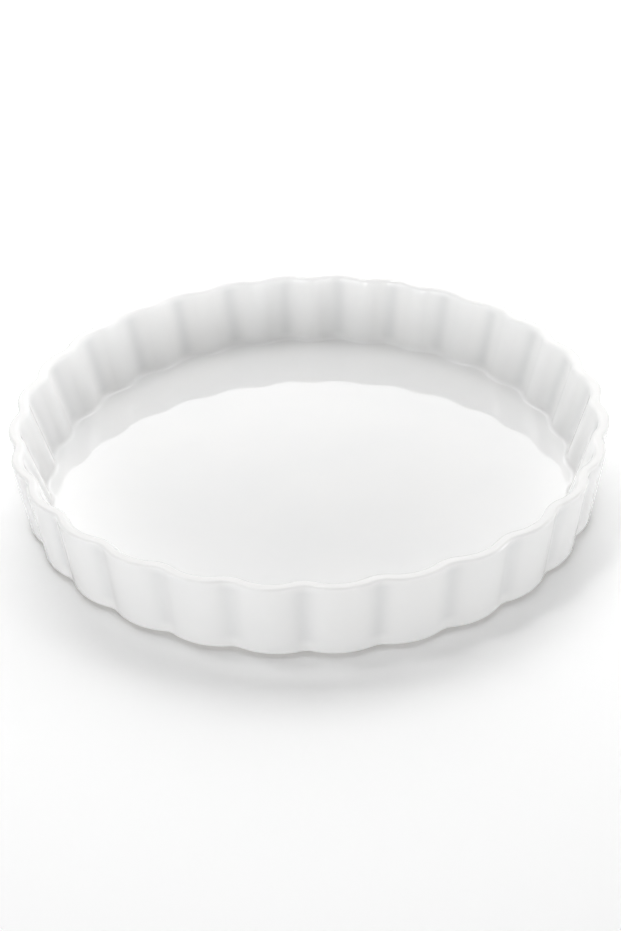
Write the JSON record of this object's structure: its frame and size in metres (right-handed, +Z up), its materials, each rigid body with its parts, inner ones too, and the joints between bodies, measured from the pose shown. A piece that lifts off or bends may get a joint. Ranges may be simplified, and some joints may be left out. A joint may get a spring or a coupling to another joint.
{
  "type": "fluted quiche dish",
  "caption": "Round shallow white ceramic baking dish with a flared fluted wall, a rounded rim, a flat floor and a recessed underside inside a bare foot ring.",
  "frame": {"origin": "middle of the foot ring's standing face, which is the bottom centre of the dish", "axes": "+Z up along the dish's axis, out of its open top; the tip of one flute's lobe lies on +X"},
  "size_m": [0.2796, 0.2796, 0.0385],
  "materials": {
    "fired_clay": "matt fired white clay, bare at the foot",
    "white_glaze": "smooth glossy white glaze"
  },
  "bodies": {
    "root": {"clay_body": "fired_clay", "glaze_coat": "white_glaze", "underside_glaze": "white_glaze"}
  },
  "joints": []
}
